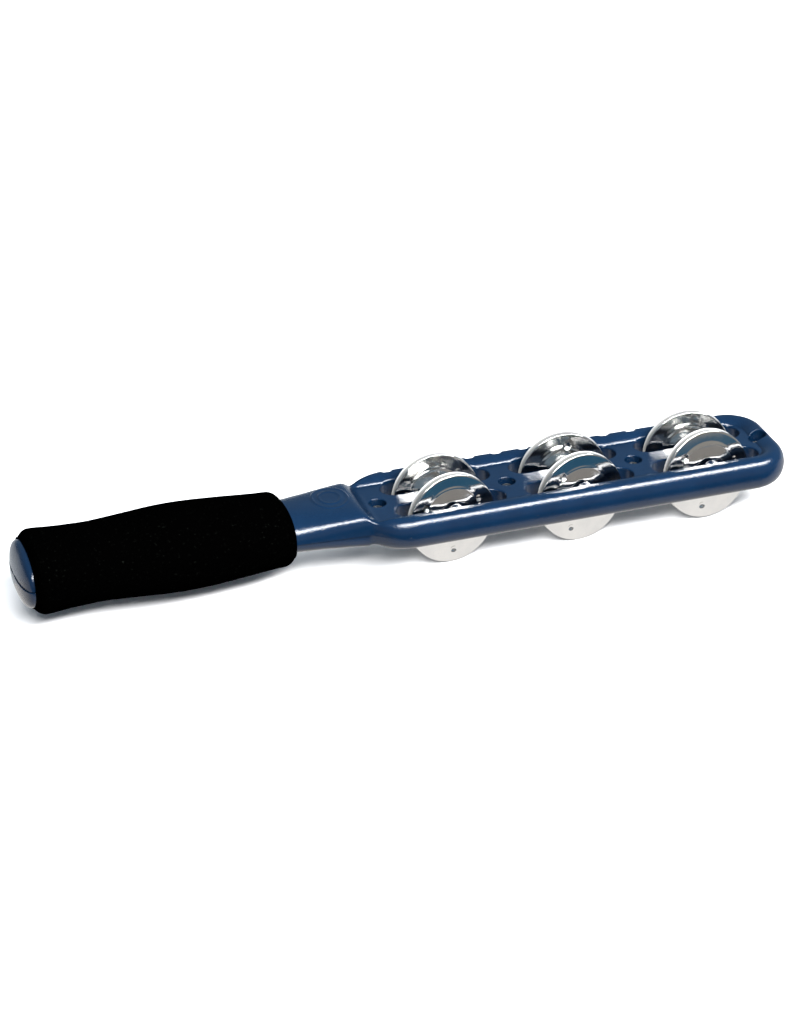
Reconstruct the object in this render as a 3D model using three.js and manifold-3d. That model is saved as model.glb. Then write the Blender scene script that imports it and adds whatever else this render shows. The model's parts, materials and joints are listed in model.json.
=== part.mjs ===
// Hand-held jingle stick: a two-part moulded paddle, a foam grip on its handle,
// and six pairs of disc jingles that hang on three long cross pins.
// Millimetres. +X runs from the handle to the tip, +Z is up, the pins lie along Y.
import * as THREE from 'three';
import { mergeVertices } from 'three/addons/utils/BufferGeometryUtils.js';
import Module from 'manifold-3d';

const wasm = await Module();
wasm.setup();

// ---------------------------------------------------------------- driving dimensions
// Everything is laid out from the first web screw, on the mid plane between the shells.
const PITCH = 62;                 // one jingle column to the next
const COLUMNS = 3;
const COLUMN_X = PITCH / 2 + 0.2; // first jingle column, midway between two screws
const SPLIT_GAP = 0.3;            // parting line between the two shells

const HEAD = {
  halfWidth: 27.7, tipX: 194, neckX: -14,
  tipCorner: 18.2, neckCorner: 25,
  rimHeight: 7.7, rimRound: 5.2,  // half thickness of the rim, and its outer rounding
};
const WEB = {
  top: 5, halfWidth: 17.4, neckX: -5.7, tipX: 184,
  tipCorner: 8, neckCorner: 2.5, neckSlope: 0.8,
};
const SLOT = { length: 52, width: 12.5, rowY: 11 };
const SCREW = {
  headRadius: 2.9, headHeight: 1.5, headTop: 2.6, shankRadius: 1.5, shankEnd: -3.9,
  boreRadius: 3.95, socketDepth: 1.1, tipX: 3 * PITCH + 0.2, tipBoreRadius: 4.1,
};
const PIN = { radius: 1.3, halfLength: 21, clearance: 0.3, bossRadius: 4.2, bossZ: 3.6 };
const JINGLE = {
  radius: 20.9, thickness: 0.7, hole: 4, hubRadius: 8.6, domeRadius: 13.8, domeHeight: 1.55,
};
// The two discs of a pair lie this far apart and this far behind the pin's axis, domes outwards
const PAIR = { spread: 3.7, hangX: -0.4 };
// The six pairs: place along the pin, drop below it by the slack in the wide holes, and the
// turn about Z and lean about X, in radians
const ROWS = {
  near: {
    y: [-13.8, -13.75, -13.95], drop: [1.6, 2, 1.25],
    yaw: [0.1, 0.105, 0.07], lean: [0.065, 0.06, 0.11],
  },
  far: {
    y: [7.5, 7.55, 7.95], drop: [1.9, 1.6, 1.5],
    yaw: [0.035, -0.06, -0.09], lean: [0.1, 0.04, 0.06],
  },
};
const GROOVE = {
  first: 12.5, pitch: 13.3, count: 10, radius: 2.6, depth: 1.1,
  shoulderY: 24.4, shoulderZ: 7.15, shoulderTilt: Math.PI / 6, length: 11,
};

// Handle and neck sections: [x, half width, half height above, half height below, squareness]
const NECK = [
  [-163, 16.2, 10.2, 10.2, 2.2],
  [-56, 16.4, 10.6, 9.2, 2.2],
  [-42, 17.0, 10.9, 8.8, 2.2],
  [-30, 17.8, 11.1, 8.4, 2.5],
  [-18, 18.6, 11.3, 8.4, 2.9],
  [-10, 19.2, 11.2, 8.7, 3.4],
  [-3, 19.6, 9.5, 8.2, 3.4],
  [4, 19.8, 6.5, 6.3, 3.4],
];
const STEP = 0.35;                // the lower shell stands this far inside the upper one
const WALL = 2.5;

// Domed end of the handle, beyond the grip: [x, share of the full oval]
const BUTT = { halfWidth: 19.4, halfHeight: 13.3, squareness: 2.3 };
const BUTT_DOME = [
  [-167.3, 0.14], [-167.15, 0.32], [-166.85, 0.54], [-166.4, 0.67], [-165.6, 0.78],
  [-164.4, 0.885], [-163.2, 0.965], [-162.3, 1], [-160.5, 1],
];

// Foam grip sections: [x, half width, height above, height below], handle end first
const GRIP = [
  [-162, 17.9, 12.2, 12.2], [-161, 20.2, 14.5, 14.5], [-158.9, 21.9, 16.1, 16.3],
  [-155.5, 22.6, 16.7, 16.9], [-147, 21.7, 16.0, 16.1], [-131, 21.0, 15.6, 15.4],
  [-116, 22.4, 16.4, 16.0], [-102, 23.7, 17.3, 16.7], [-92, 24.0, 17.5, 16.8],
  [-82, 23.7, 17.2, 16.5], [-68, 22.6, 16.4, 15.4], [-54, 21.4, 15.4, 14.1],
  [-49.5, 21.1, 15.3, 13.9], [-46.4, 20.3, 14.5, 13.1], [-44.4, 18.7, 12.9, 11.5],
  [-43.3, 16.2, 10.4, 9.0],
];
const GRIP_SQUARENESS = 2.35;
const GRIP_GAP = 0.3;

// ---------------------------------------------------------------- materials
const blueABS = () => new THREE.MeshStandardMaterial({ color: 0x17406e, roughness: 0.35, metalness: 0 });
const blackFoam = () => new THREE.MeshStandardMaterial({ color: 0x0c0c0d, roughness: 0.95, metalness: 0 });
const brightSteel = () => new THREE.MeshStandardMaterial({ color: 0xc9cacb, roughness: 0.18, metalness: 1 });
const zincSteel = () => new THREE.MeshStandardMaterial({ color: 0x8f9294, roughness: 0.4, metalness: 1 });

// ---------------------------------------------------------------- solids
function toSolid(source) {
  const geometry = source.clone();
  geometry.deleteAttribute('normal');
  geometry.deleteAttribute('uv');
  const merged = mergeVertices(geometry, 1e-4);
  const index = merged.index.array;
  const faces = [];
  for (let i = 0; i < index.length; i += 3) {
    const [a, b, c] = [index[i], index[i + 1], index[i + 2]];
    if (a !== b && b !== c && c !== a) faces.push(a, b, c);
  }
  const mesh = new wasm.Mesh({
    numProp: 3,
    vertProperties: new Float32Array(merged.attributes.position.array),
    triVerts: new Uint32Array(faces),
  });
  return new wasm.Manifold(mesh);
}

function toGeometry(solid) {
  const mesh = solid.getMesh();
  const geometry = new THREE.BufferGeometry();
  geometry.setAttribute('position', new THREE.BufferAttribute(new Float32Array(mesh.vertProperties), 3));
  geometry.setIndex(new THREE.BufferAttribute(new Uint32Array(mesh.triVerts), 1));
  geometry.computeVertexNormals();
  return geometry;
}

function solidBox(x0, x1, y0, y1, z0, z1) {
  const box = new THREE.BoxGeometry(x1 - x0, y1 - y0, z1 - z0);
  box.translate((x0 + x1) / 2, (y0 + y1) / 2, (z0 + z1) / 2);
  return toSolid(box);
}

function uprightCylinder(x, y, radius, z0, z1, sides = 20) {
  const cylinder = new THREE.CylinderGeometry(radius, radius, z1 - z0, sides);
  cylinder.rotateX(Math.PI / 2);
  cylinder.translate(x, y, (z0 + z1) / 2);
  return toSolid(cylinder);
}

function crossCylinder(x, z, radius, y0, y1, sides = 16) {
  const cylinder = new THREE.CylinderGeometry(radius, radius, y1 - y0, sides);
  cylinder.translate(x, (y0 + y1) / 2, z);
  return toSolid(cylinder);
}

// A closed solid through rings that all have the same number of points, capped at both ends.
function loft(rings) {
  const count = rings[0].length;
  const points = rings.flat();
  const faces = [];
  for (let r = 0; r + 1 < rings.length; r++) {
    for (let i = 0; i < count; i++) {
      const [a, b] = [r * count + i, r * count + ((i + 1) % count)];
      faces.push(a, b, b + count, a, b + count, a + count);
    }
  }
  const last = (rings.length - 1) * count;
  for (let i = 1; i + 1 < count; i++) {
    faces.push(0, i + 1, i, last, last + i, last + i + 1);
  }
  const geometry = new THREE.BufferGeometry().setFromPoints(points);
  geometry.setIndex(faces);
  return toSolid(geometry);
}

// ---------------------------------------------------------------- head of the paddle
// Rounded rectangle at height z, its neck end and tip end with corners of their own.
function headRing(x0, x1, halfWidth, neckCorner, tipCorner, z, cornerSteps = 5) {
  const ring = [];
  const corners = [
    [x1 - tipCorner, halfWidth - tipCorner, tipCorner, 0],
    [x0 + neckCorner, halfWidth - neckCorner, neckCorner, 1],
    [x0 + neckCorner, neckCorner - halfWidth, neckCorner, 2],
    [x1 - tipCorner, tipCorner - halfWidth, tipCorner, 3],
  ];
  for (const [cx, cy, radius, quarter] of corners) {
    for (let i = 0; i <= cornerSteps; i++) {
      const angle = (quarter + i / cornerSteps) * Math.PI / 2;
      ring.push(new THREE.Vector3(cx + radius * Math.cos(angle), cy + radius * Math.sin(angle), z));
    }
  }
  return ring;
}

function headBlank() {
  const rings = [];
  const levels = 8;
  for (let i = 0; i <= levels; i++) {
    const angle = (i / levels - 0.5) * Math.PI;
    const inset = HEAD.rimRound * (1 - Math.cos(angle));
    rings.push(headRing(HEAD.neckX + inset, HEAD.tipX - inset, HEAD.halfWidth - inset,
      HEAD.neckCorner - inset, HEAD.tipCorner - inset, HEAD.rimHeight * Math.sin(angle)));
  }
  return loft(rings);
}

// The hollow above the web: flat floor, sides that curve out to the crest of the rim.
function webHollow(side) {
  const levels = [[0, 0], [0.12, 0.38], [0.42, 0.75], [1, 1], [1.6, 3.4]];
  const rise = HEAD.rimHeight - WEB.top;
  const crest = HEAD.halfWidth - HEAD.rimRound - WEB.halfWidth;
  const rings = levels.map(([out, up]) => {
    const sideways = crest * Math.min(out, 1.15);
    return headRing(WEB.neckX - WEB.neckSlope * rise * up, WEB.tipX + 4.8 * out, WEB.halfWidth + sideways,
      WEB.neckCorner + out, WEB.tipCorner + 5 * Math.min(out, 1.2), side * (WEB.top + rise * up));
  });
  return loft(side > 0 ? rings : rings.reverse());
}

// One cross groove over the far rim: a cut down its flank and one across its sloping shoulder.
function fingerGroove(index, side) {
  const x = GROOVE.first + index * GROOVE.pitch;
  const proud = GROOVE.radius - GROOVE.depth;
  const flank = uprightCylinder(x, HEAD.halfWidth + proud, GROOVE.radius, -12, 12, 10);
  const shoulder = new THREE.CylinderGeometry(GROOVE.radius, GROOVE.radius, GROOVE.length, 10);
  shoulder.rotateX(-side * GROOVE.shoulderTilt);
  shoulder.translate(x, GROOVE.shoulderY + proud * Math.sin(GROOVE.shoulderTilt),
    side * (GROOVE.shoulderZ + proud * Math.cos(GROOVE.shoulderTilt)));
  return flank.add(toSolid(shoulder));
}

function slotCutter(x, y, grow = 0, reach = 12) {
  const radius = SLOT.width / 2 + grow;
  const half = SLOT.length / 2 - SLOT.width / 2;
  const shape = new THREE.Shape();
  shape.absarc(half, 0, radius, -Math.PI / 2, Math.PI / 2, false);
  shape.absarc(-half, 0, radius, Math.PI / 2, Math.PI * 1.5, false);
  const slot = new THREE.ExtrudeGeometry(shape, { depth: 2 * reach, bevelEnabled: false, curveSegments: 8 });
  slot.translate(x, y, -reach);
  return toSolid(slot);
}

// ---------------------------------------------------------------- neck and handle
function neckRing([x, halfWidth, above, below, power], shrink, steps = 24) {
  const ring = [];
  for (let i = 0; i < steps; i++) {
    const angle = (i / steps) * Math.PI * 2;
    const [c, s] = [Math.cos(angle), Math.sin(angle)];
    const height = (s > 0 ? above : below) - shrink;
    const y = (halfWidth - shrink) * Math.sign(c) * Math.abs(c) ** (2 / power);
    const z = height * Math.sign(s) * Math.abs(s) ** (2 / power);
    ring.push(new THREE.Vector3(x, y, z));
  }
  return ring;
}

const neckSolid = (shrink, stations = NECK) => loft(stations.map((station) => neckRing(station, shrink)));

const buttDome = () => loft(BUTT_DOME.map(([x, share]) => neckRing(
  [x, BUTT.halfWidth * share, BUTT.halfHeight * share, BUTT.halfHeight * share, BUTT.squareness], 0)));

// ---------------------------------------------------------------- shells
const columnX = (column) => COLUMN_X + column * PITCH;
const screwX = (screw) => (screw < COLUMNS ? screw * PITCH : SCREW.tipX);

function shell(side) {
  const upper = side > 0;
  let body = headBlank().add(neckSolid(upper ? 0 : STEP));
  body = body.subtract(webHollow(1)).subtract(webHollow(-1)).add(buttDome());
  for (let column = 0; column < COLUMNS; column++) {
    for (const row of [-1, 1]) {
      const [inner, outer] = [row * (WEB.halfWidth - 0.4), row * (HEAD.halfWidth - HEAD.rimRound)];
      body = body.add(crossCylinder(columnX(column), side * PIN.bossZ, PIN.bossRadius,
        Math.min(inner, outer), Math.max(inner, outer)));
    }
  }
  for (let column = 0; column < COLUMNS; column++) {
    for (const row of [-1, 1]) body = body.subtract(slotCutter(columnX(column), row * SLOT.rowY));
  }
  for (let i = 0; i < GROOVE.count; i++) body = body.subtract(fingerGroove(i, side));

  // only this side of the parting line
  const reach = 30;
  const [low, high] = upper ? [SPLIT_GAP / 2, reach] : [-reach, -SPLIT_GAP / 2];
  body = body.intersect(solidBox(-200, 220, -40, 40, low, high));

  // hollow handle and neck, rim channels and core-outs between the slots
  const core = NECK.filter(([x]) => x <= -10);
  body = body.subtract(neckSolid(WALL, core));
  const channelTop = side * (HEAD.rimHeight - WALL);
  const pinBlock = 5;
  for (let column = 0; column <= COLUMNS; column++) {
    const x0 = column === 0 ? 9 : columnX(column - 1) + pinBlock;
    const x1 = column === COLUMNS ? HEAD.tipX - HEAD.tipCorner : columnX(column) - pinBlock;
    for (const row of [-1, 1]) {
      const [inner, outer] = [row * (SLOT.rowY + SLOT.width / 2 + 1.8), row * (HEAD.halfWidth - WALL - 0.6)];
      body = body.subtract(solidBox(x0, x1, Math.min(inner, outer), Math.max(inner, outer),
        Math.min(0, channelTop), Math.max(0, channelTop)));
    }
  }
  const coreTop = side * (WEB.top - 2);
  for (let screw = 0; screw < COLUMNS; screw++) {
    for (const row of [-1, 1]) {
      const [x, y] = [screw * PITCH, row * (SLOT.rowY + 0.5)];
      const half = screw === 0 ? 2.6 : 3.1;
      body = body.subtract(solidBox(x - half, x + half, y - 5, y + 5,
        Math.min(0, coreTop), Math.max(0, coreTop)));
    }
  }

  // screw bores: wide for the head from above, a blind pilot hole in the lower shell
  for (let screw = 0; screw <= COLUMNS; screw++) {
    const x = screwX(screw);
    const bore = screw < COLUMNS ? SCREW.boreRadius : SCREW.tipBoreRadius;
    if (upper) {
      body = body.subtract(uprightCylinder(x, 0, bore, SCREW.socketDepth - 0.3, 14));
      body = body.subtract(uprightCylinder(x, 0, SCREW.shankRadius + 0.35, -1, 3, 14));
    } else {
      body = body.subtract(uprightCylinder(x, 0, SCREW.shankRadius + 0.35, SCREW.shankEnd - 0.3, 1, 14));
    }
  }

  // half-round cradles for the cross pins
  for (let column = 0; column < COLUMNS; column++) {
    const reachY = PIN.halfLength + PIN.clearance;
    body = body.subtract(crossCylinder(columnX(column), 0, PIN.radius + PIN.clearance, -reachY, reachY));
  }
  return body;
}

// ---------------------------------------------------------------- grip, pins, screws
function foamGrip() {
  const outer = loft(GRIP.map((section) => neckRing([...section, GRIP_SQUARENESS], 0, 28)));
  const gap = BUTT_DOME.map(([x, share]) => neckRing(
    [x, BUTT.halfWidth * share, BUTT.halfHeight * share, BUTT.halfHeight * share, BUTT.squareness],
    -GRIP_GAP));
  gap.push(gap[gap.length - 1].map((point) => point.clone().setX(point.x + GRIP_GAP)));
  return outer.subtract(neckSolid(-GRIP_GAP)).subtract(loft(gap));
}

const crossPin = (column) => crossCylinder(columnX(column), 0, PIN.radius, -PIN.halfLength, PIN.halfLength, 16);

function screw(index) {
  const x = screwX(index);
  const underHead = SCREW.headTop - SCREW.headHeight;
  const profile = [
    [0, SCREW.shankEnd], [SCREW.shankRadius - 0.6, SCREW.shankEnd], [SCREW.shankRadius, SCREW.shankEnd + 1],
    [SCREW.shankRadius, underHead], [SCREW.headRadius, underHead],
    [SCREW.headRadius, SCREW.headTop - 0.6], [SCREW.headRadius - 0.8, SCREW.headTop], [0, SCREW.headTop],
  ].map(([radius, z]) => new THREE.Vector2(radius, z));
  const blank = new THREE.LatheGeometry(profile, 18);
  blank.rotateX(Math.PI / 2);
  blank.translate(x, 0, 0);
  const [arm, thin, depth] = [1.6, 0.4, 0.9];
  const recess = solidBox(x - arm, x + arm, -thin, thin, SCREW.headTop - depth, SCREW.headTop + 1)
    .add(solidBox(x - thin, x + thin, -arm, arm, SCREW.headTop - depth, SCREW.headTop + 1));
  return toSolid(blank).subtract(recess);
}

// ---------------------------------------------------------------- jingles
// Spun disc about its own Y axis: a flat polished flange round a low dome that stands out
// towards -Y, the side that its outer face looks to.
function jingle() {
  const half = JINGLE.thickness / 2;
  const { radius, hole, hubRadius, domeRadius, domeHeight } = JINGLE;
  const chamfer = 0.3;
  const outline = [
    [hole, -domeHeight - half], [hubRadius, -domeHeight - half], [domeRadius, -half],
    [radius - chamfer, -half], [radius, 0], [radius - chamfer, half],
    [domeRadius, half], [hubRadius, half - domeHeight], [hole, half - domeHeight],
    [hole, -domeHeight - half],
  ].map(([r, y]) => new THREE.Vector2(r, y));
  return toSolid(new THREE.LatheGeometry(outline, 28));
}

// ---------------------------------------------------------------- assembly
const stick = new THREE.Group();
const addPart = (parent, name, solid, material) => {
  const mesh = new THREE.Mesh(toGeometry(solid), material);
  mesh.name = name;
  parent.add(mesh);
  return mesh;
};

addPart(stick, 'upper_shell', shell(1), blueABS());
addPart(stick, 'lower_shell', shell(-1), blueABS());
addPart(stick, 'foam_grip', foamGrip(), blackFoam());
for (let column = 0; column < COLUMNS; column++) {
  addPart(stick, `cross_pin_${column + 1}`, crossPin(column), zincSteel());
}
for (let index = 0; index < COLUMNS; index++) {
  addPart(stick, `web_screw_${index + 1}`, screw(index), zincSteel());
}
addPart(stick, 'tip_screw', screw(COLUMNS), zincSteel());

for (const [row, { y, drop, yaw, lean }] of Object.entries(ROWS)) {
  for (let column = 0; column < COLUMNS; column++) {
    const pair = new THREE.Group();
    pair.rotation.set(-lean[column], 0, yaw[column], 'ZYX');
    const toMiddle = new THREE.Vector3(0, PAIR.spread / 2, 0).applyEuler(pair.rotation);
    pair.position.set(columnX(column) + PAIR.hangX - toMiddle.x, y[column], -drop[column] - toMiddle.z);
    addPart(pair, `jingle_${row}_${column + 1}_front`, jingle(), brightSteel());
    const back = addPart(pair, `jingle_${row}_${column + 1}_back`, jingle(), brightSteel());
    back.position.y = PAIR.spread;
    back.rotation.x = Math.PI;
    stick.add(pair);
  }
}

// The origin is the middle of the underside: the point below the centre that the stick stands on.
stick.updateMatrixWorld(true);
const bounds = new THREE.Box3().setFromObject(stick, true);
const middle = bounds.getCenter(new THREE.Vector3());
stick.position.set(-middle.x, -middle.y, -bounds.min.z);

export default stick;
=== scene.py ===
import json
import math

import bpy
import numpy as np
from mathutils import Matrix, Vector


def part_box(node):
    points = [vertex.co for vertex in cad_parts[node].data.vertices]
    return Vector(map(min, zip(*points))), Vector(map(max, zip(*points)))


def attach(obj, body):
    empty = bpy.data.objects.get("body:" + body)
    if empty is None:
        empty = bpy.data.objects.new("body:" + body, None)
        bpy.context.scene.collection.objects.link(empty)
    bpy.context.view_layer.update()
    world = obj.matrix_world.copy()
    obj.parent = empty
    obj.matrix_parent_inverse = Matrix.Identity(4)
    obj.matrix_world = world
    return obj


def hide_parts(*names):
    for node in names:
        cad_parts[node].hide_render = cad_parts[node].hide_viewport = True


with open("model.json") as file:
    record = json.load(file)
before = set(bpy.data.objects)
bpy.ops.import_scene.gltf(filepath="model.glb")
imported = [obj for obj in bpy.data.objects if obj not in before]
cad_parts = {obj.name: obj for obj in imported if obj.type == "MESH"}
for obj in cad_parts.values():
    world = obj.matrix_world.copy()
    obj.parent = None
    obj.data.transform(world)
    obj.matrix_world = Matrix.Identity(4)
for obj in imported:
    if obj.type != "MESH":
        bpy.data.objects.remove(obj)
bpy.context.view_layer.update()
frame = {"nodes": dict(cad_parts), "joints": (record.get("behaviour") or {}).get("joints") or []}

MM = 0.001
COLUMNS = 3
PITCH = 62.0
COLUMN_X = 31.2       # first cross pin, measured from the first web screw
ROWS = ("near", "far")

# The design's own datum, the first web screw on the parting plane, as a point of the row frame
_low, _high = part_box("cross_pin_1")
DATUM = (_low + _high) / 2 - Vector((COLUMN_X * MM, 0, 0))


# ------------------------------------------------------------------ camera, floor, light
CAMERA_ANGLES = (18.729, 28.422, -0.537)          # azimuth, elevation and roll, degrees
CAMERA_PLACE = (1.52136, 0.010125, 0.000305)      # distance from the datum, shift right and up
CAMERA_LENS = 118.986
CARD_LIFT = 0.0004                                # the flat cards lie just over the floor


def make_camera():
    """Three-quarter view from above, over the handle's side of the long edge."""
    azimuth, elevation, roll = (math.radians(a) for a in CAMERA_ANGLES)
    distance, aim_right, aim_up = CAMERA_PLACE
    forward = Vector((math.sin(azimuth) * math.cos(elevation),
                      math.cos(azimuth) * math.cos(elevation), -math.sin(elevation)))
    level = Vector((math.cos(azimuth), -math.sin(azimuth), 0))
    upright = level.cross(forward)
    right = level * math.cos(roll) + upright * math.sin(roll)
    up = upright * math.cos(roll) - level * math.sin(roll)
    data = bpy.data.cameras.new("camera")
    data.sensor_width = 36
    data.lens = CAMERA_LENS
    data.clip_start, data.clip_end = 0.05, 50
    camera = bpy.data.objects.new("camera", data)
    place = DATUM - forward * distance + right * aim_right + up * aim_up
    camera.matrix_world = Matrix((
        (right.x, up.x, -forward.x, place.x),
        (right.y, up.y, -forward.y, place.y),
        (right.z, up.z, -forward.z, place.z),
        (0, 0, 0, 1)))
    bpy.context.scene.collection.objects.link(camera)
    bpy.context.scene.camera = camera


def area_light(name, place, size, power):
    """A rectangular light that faces the middle of the floor."""
    data = bpy.data.lights.new(name, "AREA")
    data.shape = "RECTANGLE"
    data.size, data.size_y = size
    data.energy = power
    light = bpy.data.objects.new(name, data)
    light.location = place
    light.rotation_euler = (-Vector(place)).to_track_quat("-Z", "Y").to_euler()
    bpy.context.scene.collection.objects.link(light)
    return light


def flat_sheet(name, size, values):
    """A flat rectangle, level at the origin, with its shader's sockets set from values."""
    x, y = size[0] / 2, size[1] / 2
    mesh = bpy.data.meshes.new(name)
    mesh.from_pydata([(-x, -y, 0), (x, -y, 0), (x, y, 0), (-x, y, 0)], [], [(0, 1, 2, 3)])
    sheet = bpy.data.objects.new(name, mesh)
    material = bpy.data.materials.new(name)
    material.use_nodes = True
    shader = material.node_tree.nodes["Principled BSDF"]
    for socket, value in values.items():
        shader.inputs[socket].default_value = value
    mesh.materials.append(material)
    bpy.context.scene.collection.objects.link(sheet)
    return sheet


def reflection_card(name, centre, size, colour, tilt=0):
    """A glowing card, no lamp, that only shows in glossy reflections: a painted reflection for
    the plated metal to mirror.
    """
    card = flat_sheet(name, size, {
        "Base Color": (0, 0, 0, 1), "Roughness": 1.0,
        "Emission Color": (*colour, 1), "Emission Strength": 1.0})
    card.location = centre
    card.rotation_euler.x = math.radians(tilt)
    card.visible_camera = card.visible_diffuse = card.visible_shadow = False


def make_studio():
    world = bpy.data.worlds.new("soft_studio")
    world.use_nodes = True
    background = world.node_tree.nodes["Background"]
    background.inputs["Color"].default_value = (0.6, 0.8, 1.0, 1)
    background.inputs["Strength"].default_value = 0.3
    bpy.context.scene.world = world
    bpy.context.scene.view_settings.view_transform = "Standard"

    overhead = area_light("overhead_fill", (0, 0.1, 1.5), (2.4, 2.4), 30)
    overhead.visible_glossy = False
    front = area_light("front_softbox", (0.3, -0.80, 0.86), (1.8, 0.2), 60)
    front.data.cycles.max_bounces = 0
    # painted reflections: glowing cards seen only in the glossy metal and plastic, white under
    # the stick where the floor is shaded, dark blue just in front, grey further out, upright grey
    # far in front
    reflection_card("painted_white_reflection", (0, -0.01, CARD_LIFT), (1.4, 0.08), (0.98, 0.96, 0.94))
    reflection_card("painted_dark_reflection", (0, -0.0925, CARD_LIFT), (1.4, 0.085), (0.022, 0.09, 0.165))
    reflection_card("painted_grey_reflection", (0, -0.3675, CARD_LIFT), (2.0, 0.465), (0.30, 0.285, 0.262))
    reflection_card("painted_upright_reflection", (0, -0.9, 0.2), (3.0, 0.4), (0.255, 0.242, 0.228), 90)
    floor = flat_sheet("floor", (12, 12), {"Base Color": (0.9, 0.9, 0.9, 1), "Roughness": 0.9})


# ------------------------------------------------------------------ material helpers
class Nodes:
    """A material's node tree, with the few nodes that the finishes here share."""

    def __init__(self, name):
        self.material = bpy.data.materials.new(name)
        self.material.use_nodes = True
        self.tree = self.material.node_tree
        self.shader = self.tree.nodes["Principled BSDF"]
        coordinates = self.tree.nodes.new("ShaderNodeTexCoord")
        self.where, self.facing = coordinates.outputs["Object"], coordinates.outputs["Normal"]

    def set(self, **values):
        for name, value in values.items():
            self.shader.inputs[name.replace("_", " ")].default_value = value

    def link(self, source, socket):
        self.tree.links.new(source, socket)

    def noise(self, scale, detail, rough=0.55):
        node = self.tree.nodes.new("ShaderNodeTexNoise")
        node.inputs["Scale"].default_value = scale
        node.inputs["Detail"].default_value = detail
        node.inputs["Roughness"].default_value = rough
        self.link(self.where, node.inputs["Vector"])
        return node.outputs["Fac"]

    def ramp(self, factor, *stops):
        node = self.tree.nodes.new("ShaderNodeValToRGB")
        elements = node.color_ramp.elements
        while len(elements) < len(stops):
            elements.new(0.5)
        for element, (place, colour) in zip(elements, stops):
            element.position = place
            element.color = (*colour, 1)
        self.link(factor, node.inputs["Fac"])
        return node.outputs["Color"]

    def spread(self, factor, low, high, new_low, new_high):
        node = self.tree.nodes.new("ShaderNodeMapRange")
        for name, value in zip(("From Min", "From Max", "To Min", "To Max"),
                               (low, high, new_low, new_high)):
            node.inputs[name].default_value = value
        self.link(factor, node.inputs["Value"])
        return node.outputs["Result"]

    def larger(self, a, b):
        node = self.tree.nodes.new("ShaderNodeMath")
        node.operation = "MAXIMUM"
        self.link(a, node.inputs[0])
        self.link(b, node.inputs[1])
        return node.outputs["Value"]

    def along_y(self, vector):
        node = self.tree.nodes.new("ShaderNodeSeparateXYZ")
        self.link(vector, node.inputs["Vector"])
        return node.outputs["Y"]

    def bump(self, height, strength, distance, normal=None):
        node = self.tree.nodes.new("ShaderNodeBump")
        node.inputs["Strength"].default_value = strength
        node.inputs["Distance"].default_value = distance
        self.link(height, node.inputs["Height"])
        if normal is not None:
            self.link(normal, node.inputs["Normal"])
        return node.outputs["Normal"]


def blue_plastic():
    """Moulded ABS in a deep metallic blue, with a fine flake grain under a glossy skin."""
    n = Nodes("blue_plastic")
    cloud = n.noise(55, 4)
    colour = n.ramp(cloud, (0.3, (0.0016, 0.0105, 0.031)), (0.7, (0.0022, 0.0145, 0.041)))
    n.link(colour, n.shader.inputs["Base Color"])
    grain = n.noise(1500, 2, 0.7)
    n.link(n.spread(grain, 0.3, 0.7, 0.34, 0.5), n.shader.inputs["Roughness"])
    peel = n.bump(n.noise(420, 3), 0.12, 0.0004)
    skin = n.bump(grain, 0.6, 0.00015, peel)
    n.link(skin, n.shader.inputs["Normal"])
    n.link(skin, n.shader.inputs["Coat Normal"])
    n.set(Metallic=0.15, Specular_IOR_Level=0.0, Coat_Weight=1.0, Coat_Roughness=0.15)
    return n.material


def black_foam():
    """Closed-cell foam rubber: near black, matt, with pinholes and stray grey specks."""
    n = Nodes("black_foam")
    cells = n.tree.nodes.new("ShaderNodeTexVoronoi")
    cells.inputs["Scale"].default_value = 1500
    n.link(n.where, cells.inputs["Vector"])
    speck = n.noise(900, 2, 0.6)
    colour = n.ramp(speck, (0.0, (0.0001, 0.0001, 0.0001)), (0.66, (0.0002, 0.0002, 0.0002)),
                    (0.8, (0.005, 0.006, 0.005)))
    n.link(colour, n.shader.inputs["Base Color"])
    soft = n.bump(n.noise(240, 4), 0.35, 0.0006)
    n.link(n.bump(cells.outputs["Distance"], 0.5, 0.0003, soft), n.shader.inputs["Normal"])
    n.set(Roughness=1.0, Specular_IOR_Level=0.0)
    return n.material


def nickel_plate():
    """Bright plated steel with faint swirl marks, duller on the hollow side of each disc."""
    n = Nodes("nickel_plate")
    patch = n.noise(90, 4)
    n.link(n.ramp(patch, (0.3, (0.74, 0.74, 0.73)), (0.75, (0.84, 0.83, 0.81))),
           n.shader.inputs["Base Color"])
    polish = n.spread(patch, 0.3, 0.8, 0.07, 0.16)
    dull = n.spread(n.along_y(n.facing), 0.3, 0.7, 0.0, 0.55)
    n.link(n.larger(polish, dull), n.shader.inputs["Roughness"])
    n.link(n.bump(n.noise(160, 2), 0.02, 0.0005), n.shader.inputs["Normal"])
    n.set(Metallic=1.0)
    return n.material


def steel(name, colour, roughness):
    """Plain drawn or zinc-plated steel, with fine marks along it."""
    n = Nodes(name)
    marks = n.noise(700, 3)
    dark = tuple(0.7 * c for c in colour)
    n.link(n.ramp(marks, (0.3, dark), (0.7, colour)), n.shader.inputs["Base Color"])
    n.link(n.bump(marks, 0.2, 0.0001), n.shader.inputs["Normal"])
    n.set(Metallic=1.0, Roughness=roughness)
    return n.material


# ------------------------------------------------------------------ smooth solids
def blend_max(a, b, radius):
    """The larger of two fields, rounded over where they are about equal."""
    overlap = np.maximum(radius - np.abs(a - b), 0) / radius
    return np.maximum(a, b) + overlap * overlap * radius / 4


def blend_min(a, b, radius):
    return -blend_max(-a, -b, radius)


def plan_distance(x, y, x0, x1, half_width, corner0, corner1):
    """Signed distance to a rounded rectangle, with a corner radius of its own at each end."""
    middle = (x0 + x1) / 2
    corner = np.where(x < middle, corner0, corner1)
    dx = np.abs(x - middle) - (x1 - x0) / 2 + corner
    dy = np.abs(y) - half_width + corner
    outside = np.hypot(np.maximum(dx, 0), np.maximum(dy, 0))
    return np.minimum(np.maximum(dx, dy), 0) + outside - corner


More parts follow.
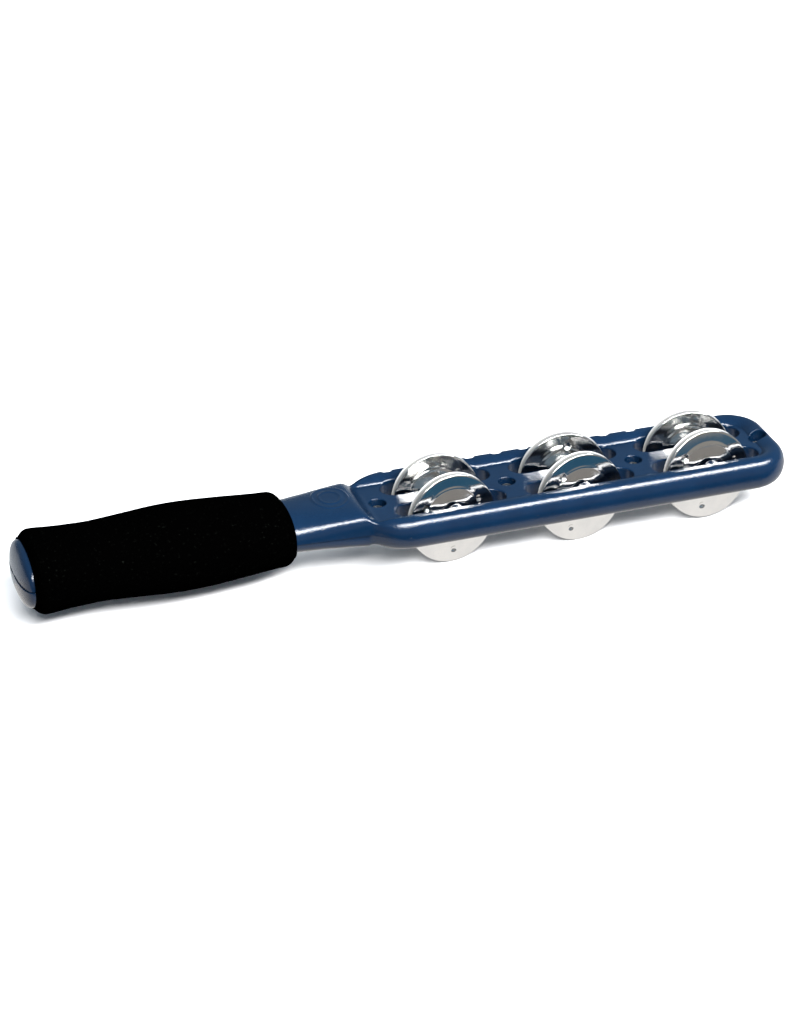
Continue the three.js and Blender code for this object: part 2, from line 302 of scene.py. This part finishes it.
def oval(y, z, half_width, above, below, power):
    """Rough distance to a squarish oval; above and below are its half heights."""
    height = np.where(z > 0, above, below)
    ratio = (np.abs(y) / half_width) ** power + (np.abs(z) / height) ** power
    return (ratio ** (1 / power) - 1) * np.minimum(half_width, height)


# Neck and handle sections: x, half width, height above, height below, squareness
NECK = np.array([
    [-168, 16.2, 10.2, 10.2, 2.1], [-56, 16.4, 10.6, 9.2, 2.1], [-42, 17.0, 10.9, 8.8, 2.3],
    [-30, 17.8, 11.0, 8.4, 2.8], [-18, 18.6, 11.0, 8.4, 3.7], [-10, 19.2, 10.8, 8.7, 4.4],
    [-3, 19.6, 9.5, 8.2, 4.2], [4, 19.8, 6.5, 6.3, 3.6],
])
HEAD_WIDTH, RIM_HEIGHT, RIM_ROUND = 27.68, 7.7, 5.2
TIP_X, TIP_CORNER, NECK_CORNER = 194.0, 18.2, 25.0
WEB_TOP, WEB_WIDTH, WEB_TIP, WEB_NECK = 5.0, 17.4, 184.0, -5.7
SLOT_HALF, SLOT_RADIUS, SLOT_Y = 19.75, 6.25, 11.0
STEP = 0.35           # how far the lower half of the handle stands inside the upper one
BUTT_X, BUTT_WIDTH, BUTT_HEIGHT = -167.3, 19.4, 13.3
GROOVE_X, GROOVE_PITCH, GROOVES, GROOVE_HALF, GROOVE_DEPTH = 12.5, 13.3, 10, 2.9, 1.15
SEAM = 0.02           # half the gap along the parting line
EMBLEM_X, EMBLEM_Y, EMBLEM_LENGTH, EMBLEM_WIDTH, EMBLEM_HEIGHT = -22.0, 1.5, 8.0, 9.5, 0.3
BOSS_HEIGHT, BOSS_RADIUS, BOSS_INNER, BOSS_OUTER = 3.6, 4.2, 16.5, 22.5
CRADLE_RADIUS, CRADLE_END = 1.6, 21.3
SCREW_BORE, TIP_BORE, BORE_FLOOR, SHANK_BORE, BLIND_END = 3.95, 4.1, 0.8, 1.85, -4.2


def section_values(x, table):
    """Each column of a section table at x, smoothly between its rows."""
    stations = table[:, 0]
    return [np.interp(x, stations, column) for column in table[:, 1:].T]


def neck_field(x, y, z, upper):
    width, above, below, power = section_values(x, NECK)
    body = oval(y, z, width, above, below, power) + (0 if upper else STEP)
    return np.maximum(body, np.maximum(x - 4, BUTT_X + 3 - x))


def butt_field(x, y, z, upper):
    u = np.clip((x - BUTT_X) / 5.3, 0.0, 1.0)
    share = (1 - (1 - u) ** 2.35) ** (1 / 2.35)
    body = oval(y, z, BUTT_WIDTH, BUTT_HEIGHT, BUTT_HEIGHT, 2.3)
    body = body + BUTT_HEIGHT * (1 - share) + (STEP if upper else 0)
    return np.maximum(body, np.maximum(x + 160.5, BUTT_X - x))


def finger_grooves(x, y):
    """Depth of the ten cross grooves that wrap over the far rim."""
    nearest = np.clip(np.round((x - GROOVE_X) / GROOVE_PITCH), 0, GROOVES - 1)
    off = np.abs(x - GROOVE_X - nearest * GROOVE_PITCH) / GROOVE_HALF
    return GROOVE_DEPTH * np.clip(1 - off * off, 0, 1) ** 1.5 * np.clip((y - 22.0) / 2.0, 0, 1)


def head_field(x, y, z):
    inset = plan_distance(x, y, -14.0, TIP_X, HEAD_WIDTH, NECK_CORNER, TIP_CORNER) + RIM_ROUND
    bead = (np.hypot(np.maximum(inset, 0) / RIM_ROUND, z / RIM_HEIGHT) - 1) * RIM_ROUND
    return bead + finger_grooves(x, y)


def web_level(x, y):
    """Height of the hollow's surface: a flat floor that curves up to the crest of the rim."""
    beyond = plan_distance(x, y, -80.0, WEB_TIP, WEB_WIDTH, 2.0, 8.0)
    t = np.clip((beyond + 0.5) / 5.6, 0, 1)
    rise = (1 - (1 - t) ** 2) ** 0.8
    level = WEB_TOP + (RIM_HEIGHT - WEB_TOP) * rise + np.maximum(beyond - 5.1, 0) * 3
    return blend_max(level, WEB_TOP + (WEB_NECK - x) / 1.1, 2.2)


def emblem(x, y, z):
    """A plain raised oval with a second one inside it, where such a stick carries its mark."""
    reach = np.hypot((x - EMBLEM_X) / EMBLEM_LENGTH, (y - EMBLEM_Y) / EMBLEM_WIDTH)
    rings = np.exp(-((reach - 1) / 0.07) ** 4) + np.exp(-((reach - 0.6) / 0.08) ** 4)
    return EMBLEM_HEIGHT * np.where(z > 3, rings, 0)


def paddle_field(x, y, z, upper):
    """Negative inside one half of the moulded paddle. Millimetres from the design's datum."""
    body = blend_min(head_field(x, y, z), neck_field(x, y, z, upper), 1.6)
    hollow_round = 0.06 + 2.4 * np.clip(-x / 5, 0, 1)
    body = blend_max(body, np.abs(z) - web_level(x, y), hollow_round)
    body = np.minimum(body, butt_field(x, y, z, upper)) - emblem(x, y, z)

    column = np.clip(np.round((x - COLUMN_X) / PITCH), 0, COLUMNS - 1)
    along = x - COLUMN_X - column * PITCH
    side = np.abs(y)
    boss = np.hypot(along, np.abs(z) - BOSS_HEIGHT) - BOSS_RADIUS
    boss = np.maximum(boss, np.maximum(BOSS_INNER - side, side - BOSS_OUTER))
    body = blend_min(body, boss, 0.5)
    slot = np.hypot(np.maximum(np.abs(along) - SLOT_HALF, 0), side - SLOT_Y) - SLOT_RADIUS
    body = blend_max(body, -slot, 0.9)
    cradle = np.maximum(np.hypot(along, z) - CRADLE_RADIUS, side - CRADLE_END)
    body = np.maximum(body, -cradle)

    screw = np.clip(np.round(x / PITCH), 0, COLUMNS)
    last = screw == COLUMNS
    reach = np.hypot(x - screw * PITCH - 0.2 * last, y)
    if upper:
        bore = np.maximum(reach - np.where(last, TIP_BORE, SCREW_BORE), BORE_FLOOR - z)
        body = blend_max(body, -bore, 0.5)
        return np.maximum(body, SHANK_BORE - reach)
    return np.maximum(body, np.minimum(SHANK_BORE - reach, z - BLIND_END))


def parting_height(x):
    """The halves meet along a hairline that opens into a groove round the end of the handle."""
    return SEAM + 0.28 * np.clip((-158 - x) / 2, 0, 1)


# ------------------------------------------------------------------ meshes from fields
def surface_net(field, low, high, step):
    """Quads over the surface where the field is zero: (points, faces)."""
    low = np.array(low, float)
    axes = [np.arange(a, b + step, step) for a, b in zip(low, high)]
    x, y, z = np.meshgrid(*axes, indexing="ij", sparse=True)
    value = field(x, y, z) + np.zeros([len(a) for a in axes])
    inside = value < 0
    cells = tuple(n - 1 for n in value.shape)

    corners = [(i, j, k) for i in (0, 1) for j in (0, 1) for k in (0, 1)]
    filled = np.zeros(cells, np.int8)
    for i, j, k in corners:
        filled += inside[i:cells[0] + i, j:cells[1] + j, k:cells[2] + k]
    mixed = (filled > 0) & (filled < 8)
    number = np.full(cells, -1, np.int64)
    number[mixed] = np.arange(mixed.sum())
    cell = np.argwhere(mixed)

    total = np.zeros(cell.shape)
    hits = np.zeros(len(cell))
    for start in corners:
        for axis in range(3):
            if start[axis]:
                continue
            end = tuple(c + (a == axis) for a, c in enumerate(start))
            a = value[tuple((cell + start).T)]
            b = value[tuple((cell + end).T)]
            crossed = (a < 0) != (b < 0)
            place = np.tile(np.array(start, float), (int(crossed.sum()), 1))
            place[:, axis] = (a / np.where(crossed, a - b, 1))[crossed]
            total[crossed] += place
            hits[crossed] += 1
    points = low + step * (cell + total / hits[:, None])

    faces = []
    for axis in range(3):
        u, v = (axis + 1) % 3, (axis + 2) % 3
        lower = [slice(None)] * 3
        upper = [slice(None)] * 3
        lower[axis], upper[axis] = slice(0, -1), slice(1, None)
        a, b = inside[tuple(lower)], inside[tuple(upper)]
        edge = np.argwhere(a != b)
        edge = edge[(edge[:, u] > 0) & (edge[:, v] > 0)
                    & (edge[:, u] < cells[u]) & (edge[:, v] < cells[v])]
        ring = []
        for du, dv in ((1, 1), (0, 1), (0, 0), (1, 0)):
            around = edge.copy()
            around[:, u] -= du
            around[:, v] -= dv
            ring.append(number[tuple(around.T)])
        quads = np.stack(ring, 1)
        leaving = a[tuple(edge.T)]
        quads[~leaving] = quads[~leaving][:, ::-1]
        faces.append(quads)
    return points, np.concatenate(faces)


def slope(field, points, reach=0.04):
    x, y, z = points.T
    return np.stack([
        (field(x + reach, y, z) - field(x - reach, y, z)) / (2 * reach),
        (field(x, y + reach, z) - field(x, y - reach, z)) / (2 * reach),
        (field(x, y, z + reach) - field(x, y, z - reach)) / (2 * reach)], 1)


def settle(field, points, step, rounds=3):
    """Moves each point onto the surface along the field's slope."""
    for _ in range(rounds):
        gradient = slope(field, points)
        size = np.maximum((gradient ** 2).sum(1), 1e-4)
        move = -(field(*points.T) / size)[:, None] * gradient
        length = np.linalg.norm(move, axis=1, keepdims=True)
        points = points + move * np.minimum(1, 0.5 * step / np.maximum(length, 1e-9))
    return points


def mesh_from(name, points, faces, normals=None):
    mesh = bpy.data.meshes.new(name)
    mesh.from_pydata(points.tolist(), [], faces.tolist())
    mesh.polygons.foreach_set("use_smooth", np.ones(len(faces), bool))
    mesh.update()
    if normals is not None:
        mesh.normals_split_custom_set_from_vertices(normals.tolist())
    return mesh


def add_piece(name, mesh, material, body, slot, *nodes, place=None):
    """Shows a mesh in place of the CAD nodes, riding on a body."""
    piece = bpy.data.objects.new(name, mesh)
    bpy.context.scene.collection.objects.link(piece)
    if not mesh.materials:
        mesh.materials.append(material)
    if place is not None:
        piece.matrix_world = place
    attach(piece, body)
    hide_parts(*nodes)
    return piece


def make_shell(name, node, upper, material):
    """One half of the paddle, from the parting line to its own side's surface."""
    step, past_seam = 0.5, 0.35
    x0, x1, half_width, half_height = -168.4, 195.0, 28.7, 14.3
    low = (x0, -half_width, -past_seam if upper else -half_height)
    high = (x1, half_width, half_height if upper else past_seam)
    side = 1 if upper else -1

    def whole(x, y, z):
        return paddle_field(x, y, z, upper)

    def half(x, y, z):
        return np.maximum(whole(x, y, z), parting_height(x) - side * z)

    points, faces = surface_net(half, low, high, step)
    points = settle(half, points, step)

    # a crisp parting edge: points near it go onto both surfaces, and shade with the flank
    height = parting_height(points[:, 0])
    cut = np.abs(side * points[:, 2] - height) < 0.3 * step
    rim = cut & (np.abs(whole(*points.T)) < 0.7 * step)
    points[cut, 2] = side * height[cut]
    for _ in range(3):
        edge = points[rim]
        gradient = slope(whole, edge)
        gradient[:, 2] = 0
        size = np.maximum((gradient ** 2).sum(1), 0.2)
        points[rim] = edge - (whole(*edge.T) / size)[:, None] * gradient
    normals = slope(whole, points)
    normals[cut & ~rim] = (0, 0, -side)
    normals /= np.linalg.norm(normals, axis=1, keepdims=True)
    points = points * MM + np.array(DATUM)
    add_piece(name, mesh_from(name, points, faces, normals), material,
              "paddle", "shell_plastic", node)


# ------------------------------------------------------------------ foam grip
# Sections: x, half width, height above, height below
GRIP = np.array([
    [-155.5, 22.6, 16.7, 16.9], [-147, 21.7, 16.0, 16.1], [-131, 21.0, 15.6, 15.4],
    [-116, 22.4, 16.4, 16.0], [-102, 23.7, 17.3, 16.7], [-92, 24.0, 17.5, 16.8],
    [-82, 23.7, 17.2, 16.5], [-68, 22.6, 16.4, 15.4], [-54, 21.4, 15.4, 14.1],
    [-49.5, 21.1, 15.3, 13.9],
])


def smooth_columns(x, table, spread=4.0):
    """Section values with the corners between the rows eased out."""
    offsets = np.linspace(-spread, spread, 9)
    rows = [section_values(np.clip(x + o, table[0, 0], table[-1, 0]), table) for o in offsets]
    return np.mean(rows, axis=0)


def make_grip(material):
    """A loft of squarish ovals with rounded ends, and a bore that clears the handle."""
    around = 176
    squareness = 2.35
    x0, x1, corner, clearance = -162.0, -43.3, 5.6, 0.3
    # x, and how far inside the full section
    stations = [(x0 + corner * (1 - math.cos(t)), corner * (1 - math.sin(t)))
                for t in np.linspace(0, math.pi / 2, 14)]
    stations += [(x, 0.0) for x in np.linspace(x0 + corner, x1 - corner, 120)[1:-1]]
    stations += [(x1 - corner * (1 - math.cos(t)), corner * (1 - math.sin(t)))
                 for t in np.linspace(math.pi / 2, 0, 14)]
    x = np.array([s[0] for s in stations])
    inset = np.array([s[1] for s in stations])
    width, above, below = smooth_columns(x, GRIP)
    angle = np.linspace(0, 2 * math.pi, around, endpoint=False)
    c, s = np.cos(angle), np.sin(angle)
    y_unit = np.sign(c) * np.abs(c) ** (2 / squareness)
    z_unit = np.sign(s) * np.abs(s) ** (2 / squareness)

    def ring(at, half_width, up, down):
        z = np.where(z_unit > 0, up, down) * z_unit
        return np.stack([np.full(around, at), half_width * y_unit, z], 1)

    rings = [ring(x[i], width[i] - inset[i], above[i] - inset[i], below[i] - inset[i])
             for i in range(len(x))]
    # the bore: a wide mouth over the domed end of the handle, then close to the handle itself
    dome, tube = (19.85, 13.75), (17.5, 11.5)
    inner = [(x1, *tube), (x1 - 0.6, *tube), (-90, *tube), (-159.4, *tube), (-159.9, *dome),
             (x0, *dome)]
    rings += [ring(at, half_width, height, height) for at, half_width, height in inner]
    points = np.concatenate(rings)
    count = len(rings)
    row, col = np.meshgrid(np.arange(count), np.arange(around), indexing="ij")
    after, beside = (row + 1) % count, (col + 1) % around
    faces = np.stack([row * around + col, row * around + beside,
                      after * around + beside, after * around + col], -1).reshape(-1, 4)
    points = points * MM + np.array(DATUM)
    mesh = mesh_from("grip_sleeve", points, faces)
    grip = add_piece("grip_sleeve", mesh, material, "paddle", "grip_foam", "foam_grip")


# ------------------------------------------------------------------ spun parts
def spun(profile, segments, dent=None):
    """A closed profile of (radius, y) turned about Y; dent(x, z) shifts points along Y."""
    profile = np.array(profile)
    angle = np.linspace(0, 2 * math.pi, segments, endpoint=False)
    radius, y = profile[:, 0][:, None], profile[:, 1][:, None]
    x, z = radius * np.cos(angle), radius * np.sin(angle)
    y = y + np.zeros_like(x)
    if dent is not None:
        y = y + dent(x, z)
    points = np.stack([x, y, z], -1).reshape(-1, 3)
    count = len(profile)
    row, col = np.meshgrid(np.arange(count), np.arange(segments), indexing="ij")
    after, beside = (row + 1) % count, (col + 1) % segments
    faces = np.stack([row * segments + col, after * segments + col,
                      after * segments + beside, row * segments + beside], -1).reshape(-1, 4)
    return points, faces


JINGLE_RADIUS, JINGLE_HOLE, SHEET = 20.9, 4.0, 0.65
DOME_FOOT, FOOT_RISE = 16.1, 0.1
SHOULDER_FOOT, SHOULDER_TOP, SHOULDER_RISE = 14.3, 13.3, 0.25
CONE_START, CONE_END, CONE_SLOPE = 13.5, 8.8, 0.26
DIMPLE_RADIUS, DIMPLE_SIZE, DIMPLE_DEPTH = 14.9, 1.9, 0.75
DISC_SPIN = {"near": (29, 8, 18), "far": (45, -36, 55)}
BACK_TURN = 45        # keeps a back disc's dimples clear of its partner's


def eased(t):
    t = np.clip(t, 0, 1)
    return t * t * (3 - 2 * t)


def dome_height(radius):
    """How far the stamped sheet stands in front of the plane of its flange."""
    foot = eased((DOME_FOOT - radius) / (DOME_FOOT - SHOULDER_FOOT))
    shoulder = eased((SHOULDER_FOOT - radius) / (SHOULDER_FOOT - SHOULDER_TOP))
    cone = np.clip(CONE_START - radius, 0, CONE_START - CONE_END)
    return FOOT_RISE * foot + SHOULDER_RISE * shoulder + CONE_SLOPE * cone


def dimples(x, z):
    shift = np.zeros_like(x)
    for k in range(3):
        a = math.radians(120 * k)
        gap = np.hypot(x - DIMPLE_RADIUS * math.cos(a), z - DIMPLE_RADIUS * math.sin(a))
        bowl = np.clip(1 - (gap / DIMPLE_SIZE) ** 2, 0, 1) ** 2
        shift = shift + DIMPLE_DEPTH * bowl
    return shift


def jingle_mesh():
    radii = np.concatenate([
        np.linspace(JINGLE_HOLE, 12.2, 9), np.arange(12.45, 14.5, 0.125),
        np.arange(14.7, 17.6, 0.3), np.linspace(17.9, JINGLE_RADIUS - 0.35, 5)])
    half = SHEET / 2
    front = [(r, -dome_height(r) - half) for r in radii]
    back = [(r, half - dome_height(r)) for r in radii[::-1]]
    edge = [(JINGLE_RADIUS - 0.35 + 0.35 * math.cos(a), half * math.sin(a))
            for a in np.linspace(-math.pi / 2, math.pi / 2, 7)[1:-1]]
    points, faces = spun(front + edge + back, 264, dimples)
    return mesh_from("jingle_disc", points * MM, faces)


def joint_named(name):
    return next(j for j in frame["joints"] if j["name"] == name)


def disc_place(centre, axis, back):
    """Where a disc goes: its own Y along the axis, and turned over if its dome faces back."""
    y_axis = Vector(axis).normalized()
    x_axis = Vector((y_axis.y, -y_axis.x, 0)).normalized()
    z_axis = x_axis.cross(y_axis)
    turn = Matrix((x_axis, y_axis, z_axis)).transposed().to_4x4()
    if back:
        turn = turn @ Matrix.Rotation(math.pi, 4, "X")
    return Matrix.Translation(centre) @ turn


def make_jingles(material):
    """Six pairs of discs, their domes facing outward and their hollow sides facing each other."""
    disc = jingle_mesh()
    for row in ROWS:
        for column in range(COLUMNS):
            label = f"{row}_{column + 1}"
            spin, clap = joint_named(f"spin_{label}"), joint_named(f"clap_{label}")
            turned = DISC_SPIN[row][column]
            members = (("front", spin, turned), ("back", clap, turned + BACK_TURN))
            for member, joint, angle in members:
                node = f"jingle_{label}_{member}"
                mesh = disc.copy()
                mesh.transform(Matrix.Rotation(-math.radians(angle), 4, "Y"))
                place = disc_place(joint["pos_m"], spin["axis"], member == "back")
                add_piece(f"disc_{label}_{member}", mesh, material, node, "jingle_steel", node,
                          place=place)


def make_pins(material):
    radius, half, tip = 1.3, 21.0, 0.4
    profile = [(0.02, -half), (radius - tip, -half), (radius, -half + tip),
               (radius, half - tip), (radius - tip, half), (0.02, half)]
    points, faces = spun(profile, 40)
    mesh = mesh_from("pin", points * MM, faces[:, ::-1])
    for column in range(COLUMNS):
        low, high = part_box(f"cross_pin_{column + 1}")
        add_piece(f"pin_{column + 1}", mesh, material, "paddle", "pin_steel",
                  f"cross_pin_{column + 1}", place=Matrix.Translation((low + high) / 2))


def finish_screws(material):
    for name in ("web_screw_1", "web_screw_2", "web_screw_3", "tip_screw"):
        node = frame["nodes"][name]
        node.data.materials.clear()
        node.data.materials.append(material)
        bevel = node.modifiers.new("soft_edges", "BEVEL")
        bevel.width = 0.1 * MM
        bevel.segments = 2
        bevel.limit_method = "ANGLE"


make_camera()
make_studio()
plastic = blue_plastic()
make_shell("paddle_top", "upper_shell", True, plastic)
make_shell("paddle_bottom", "lower_shell", False, plastic)
make_grip(black_foam())
make_jingles(nickel_plate())
make_pins(steel("drawn_steel", (0.45, 0.45, 0.46), 0.3))
finish_screws(steel("zinc_plate", (0.42, 0.43, 0.44), 0.4))

bpy.context.view_layer.update()
